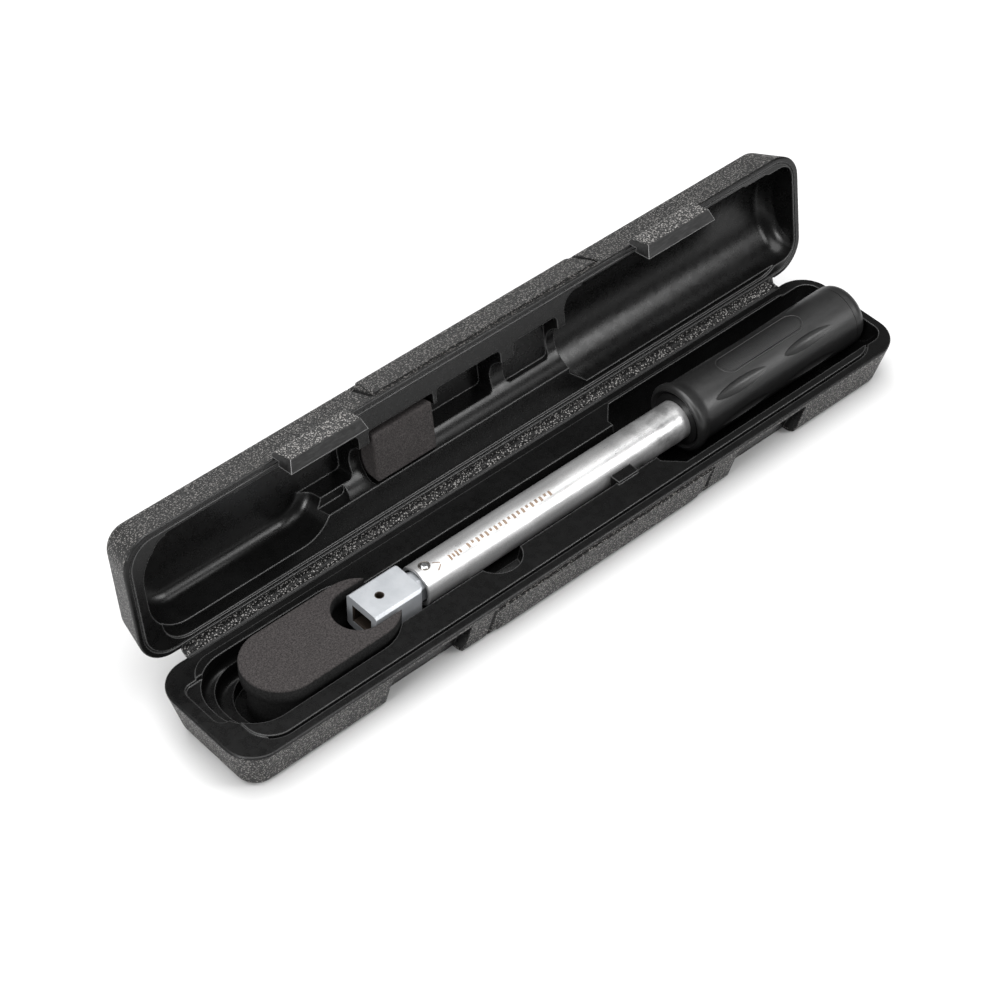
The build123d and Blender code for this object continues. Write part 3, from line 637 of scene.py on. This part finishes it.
def build_marks():
    """A row of plain bars and a pointer where a maker would put lettering."""
    bars = []
    for k in range(4):
        inset = (k % 2) * 3
        bars.append(((-67.0 + 2.1 * k) * MM, (-65.7 + 2.1 * k) * MM, 11 + inset, 29 - inset))
    x = -55.5
    for k in range(19):
        tall = (27, 21, 27, 24)[k % 4]
        bars.append((x * MM, (x + 1.5) * MM, 12, tall))
        x += 2.9
    add_marks("plain_marks", bars)
    strokes = []
    for side in (-1, 1):
        for s in range(5):
            x0 = (-75.6 + 0.62 * s) * MM
            a = 19.5 + side * (12 - 2.3 * s)
            strokes.append((x0, x0 + 0.9 * MM, a - 1.6, a + 1.6))
    add_marks("pointer_mark", strokes)


# ---------------------------------------------------------------- small round pieces
def build_spring():
    """The preset coil spring, wound along the length of the CAD spring it replaces."""
    low, high = spring_low, spring_high
    steps, sides = 24, 8
    radius = (high.y - low.y) / 2 - WIRE_R
    first, last = low.x + WIRE_R, high.x - WIRE_R
    pitch = (last - first) / SPRING_TURNS
    count = SPRING_TURNS * steps
    verts = []
    for i in range(count + 1):
        a = 2 * math.pi * i / steps
        out = Vector((0, math.cos(a), math.sin(a)))
        along = Vector((pitch / (2 * math.pi), -radius * math.sin(a), radius * math.cos(a))).normalized()
        across = along.cross(out).normalized()
        centre = Vector((first + pitch * i / steps, AXIS.y, AXIS.z)) + out * radius
        for k in range(sides):
            b = 2 * math.pi * k / sides
            verts.append(centre + (out * math.cos(b) + across * math.sin(b)) * WIRE_R)
    faces = sheet_faces(count + 1, sides, wrap_cols=True) + end_faces(count + 1, sides)
    obj = make_object("preset_spring", verts, faces, steel_material("spring_steel", 0.42, 0.25, 0.38))
    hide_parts("main_spring")
    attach(obj, "wrench")
    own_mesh(obj)


def build_pin_ring():
    """The dark swaged ring round the domed end of the pivot pin."""
    verts = []
    around = 48
    # radius, and height over the tube, in mm
    profile = ((2.45, 0.02), (2.65, 0.22), (2.95, 0.10), (3.1, -0.05))
    for i in range(around):
        a = 2 * math.pi * i / around
        for r, lift in profile:
            x = AXIS.x + r * MM * math.cos(a)
            y = AXIS.y + r * MM * math.sin(a)
            drop = math.sqrt(TUBE_R ** 2 - (y - AXIS.y) ** 2)
            verts.append((x, y, AXIS.z + drop + lift * MM))
    faces = sheet_faces(around, len(profile), wrap_rows=True)
    obj = make_object("pin_ring", verts, faces, steel_material("swaged_ring", 0.16, 0.35, 0.5, 0.10))
    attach(obj, "wrench")


def build_panel_line():
    """The fine raised outline round the grip's panel."""
    cx = (panel_low.x + panel_high.x) / 2
    half = (panel_high.x - panel_low.x) / 2 + 0.9 * MM
    wide = 6.2 * MM
    line_wide, line_high, line_sink = 0.30 * MM, 0.22 * MM, 0.08 * MM
    top_r = panel_high.z - AXIS.z + 0.12 * MM
    path = []
    for side in (1, -1):
        for i in range(25):
            a = math.radians(90 - 180 * i / 24)
            x = cx + side * (half - wide) + side * wide * math.cos(a)
            path.append((x, AXIS.y + side * wide * math.sin(a)))
    verts = []
    sides = 8
    for i, (x, y) in enumerate(path):
        after, before = path[(i + 1) % len(path)], path[i - 1]
        tangent = Vector((after[0] - before[0], after[1] - before[1], 0)).normalized()
        dy = y - AXIS.y
        out = Vector((0, dy, math.sqrt(top_r ** 2 - dy ** 2))).normalized()
        across = tangent.cross(out).normalized()
        centre = Vector((x, AXIS.y, AXIS.z)) + out * (top_r - line_sink)
        for k in range(sides):
            a = 2 * math.pi * k / sides
            verts.append(centre + across * (line_wide * math.cos(a)) + out * (line_high * math.sin(a)))
    faces = sheet_faces(len(path), sides, wrap_rows=True, wrap_cols=True)
    obj = make_object("panel_outline", verts, faces, grip_material("panel_line", 0.016, 0.024, 0.35, 0.45))
    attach(obj, "wrench")


# ---------------------------------------------------------------- floor, lights, camera
def build_stage():
    """A plain floor, in a few large squares."""
    cuts = 8
    steps = [-FLOOR_HALF + 2 * FLOOR_HALF * i / cuts for i in range(cuts + 1)]
    verts = [(x, y, 0.0) for x in steps for y in steps]
    floor = make_object("floor", verts, sheet_faces(cuts + 1, cuts + 1), floor_material())


def area_light(name, place, target, size, power, size_y=None):
    """A square lamp, or an oblong one where size_y is given, turned towards a target."""
    data = bpy.data.lights.new(name, "AREA")
    data.energy = power
    data.size = size
    if size_y:
        data.shape = "RECTANGLE"
        data.size_y = size_y
    obj = bpy.data.objects.new(name, data)
    bpy.context.scene.collection.objects.link(obj)
    obj.location = place
    obj.rotation_euler = (Vector(target) - Vector(place)).to_track_quat("-Z", "Y").to_euler()


def build_light():
    """A pale studio: a dim white world, one large lamp over the case and three small ones round it."""
    world = bpy.data.worlds.new("studio")
    bpy.context.scene.world = world
    world.use_nodes = True
    background = world.node_tree.nodes["Background"]
    background.inputs["Color"].default_value = (1, 1, 1, 1)
    background.inputs["Strength"].default_value = 0.20
    area_light("over", (-0.15, -0.1, 1.8), (0, 0, 0), 1.9, 60)
    area_light("front_right", (0.80, -1.2, 0.95), (0.05, 0.02, 0.04), 0.45, 14, 0.8)
    area_light("left", (-1.3, -0.3, 0.7), (-0.05, 0, 0.03), 0.5, 13)
    area_light("behind", (0.2, 1.3, 1.0), (0, 0.05, 0.05), 0.5, 10, 0.35)
    bpy.context.scene.view_settings.view_transform = "Standard"


def build_camera():
    """The camera at the photograph's viewing angle, from its azimuth, elevation, roll and place."""
    azimuth, elevation, roll = math.radians(-42.732), math.radians(45.076), math.radians(0.724)
    place = Vector((-0.69113, -0.71282, 1.02212))
    level = math.cos(elevation)
    back = Vector((math.sin(azimuth) * level, -math.cos(azimuth) * level, math.sin(elevation)))
    right = Vector((math.cos(azimuth), math.sin(azimuth), 0))
    up = back.cross(right)
    turned_right = right * math.cos(roll) + up * math.sin(roll)
    turned_up = up * math.cos(roll) - right * math.sin(roll)
    data = bpy.data.cameras.new("camera")
    data.sensor_width = 36
    data.lens = 104.8
    data.clip_start = 0.05
    data.clip_end = 60
    camera = bpy.data.objects.new("camera", data)
    bpy.context.scene.collection.objects.link(camera)
    camera.matrix_world = Matrix((
        (turned_right.x, turned_up.x, back.x, place.x),
        (turned_right.y, turned_up.y, back.y, place.y),
        (turned_right.z, turned_up.z, back.z, place.z),
        (0, 0, 0, 1),
    ))
    bpy.context.scene.camera = camera


# ---------------------------------------------------------------- the whole: looks of the CAD nodes, pieces
latch_plastic = latch_material()
bright_steel = steel_material("bright_steel", 0.75, 0.16, 0.26)
dark_steel = steel_material("dark_steel", 0.42, 0.25, 0.38)
grip_plastic = grip_material("grip_plastic", 0.0075, 0.0110, 0.36, 0.46)
looks = {
    # painted sheen: the base's grain peaks are painted lighter than the lid's, for the light on the base's
    # walls
    "case_base": case_material("case_base_plastic", 0.27, "base"),
    "case_lid": case_material("case_lid_plastic", 0.165, "lid"),
    "latch_left": latch_plastic,
    "latch_right": latch_plastic,
    "latch_pin_left": bright_steel,
    "latch_pin_right": bright_steel,
    "body_tube": tube_material(),
    "receiver_head": head_material(),
    "pivot_pin": bright_steel,
    "click_block": dark_steel,
    "plunger": dark_steel,
    "spring_seat": dark_steel,
    "adjusting_screw": dark_steel,
    "lock_nut": dark_steel,
    "end_plug": dark_steel,
    "retaining_ring": dark_steel,
    "grip": grip_plastic,
    "end_cap": grip_plastic,
    "grip_collar": grip_material("collar_plastic", 0.005, 0.008, 0.28, 0.36),
    "grip_panel": grip_material("panel_plastic", 0.006, 0.009, 0.40, 0.50, stipple=0.5),
}
for name, material in looks.items():
    paint(name, material)

build_head_foam()
build_lid_pad()
build_hinge_strip()
build_spring()
build_marks()
build_pin_ring()
build_panel_line()
build_stage()
build_light()
build_camera()
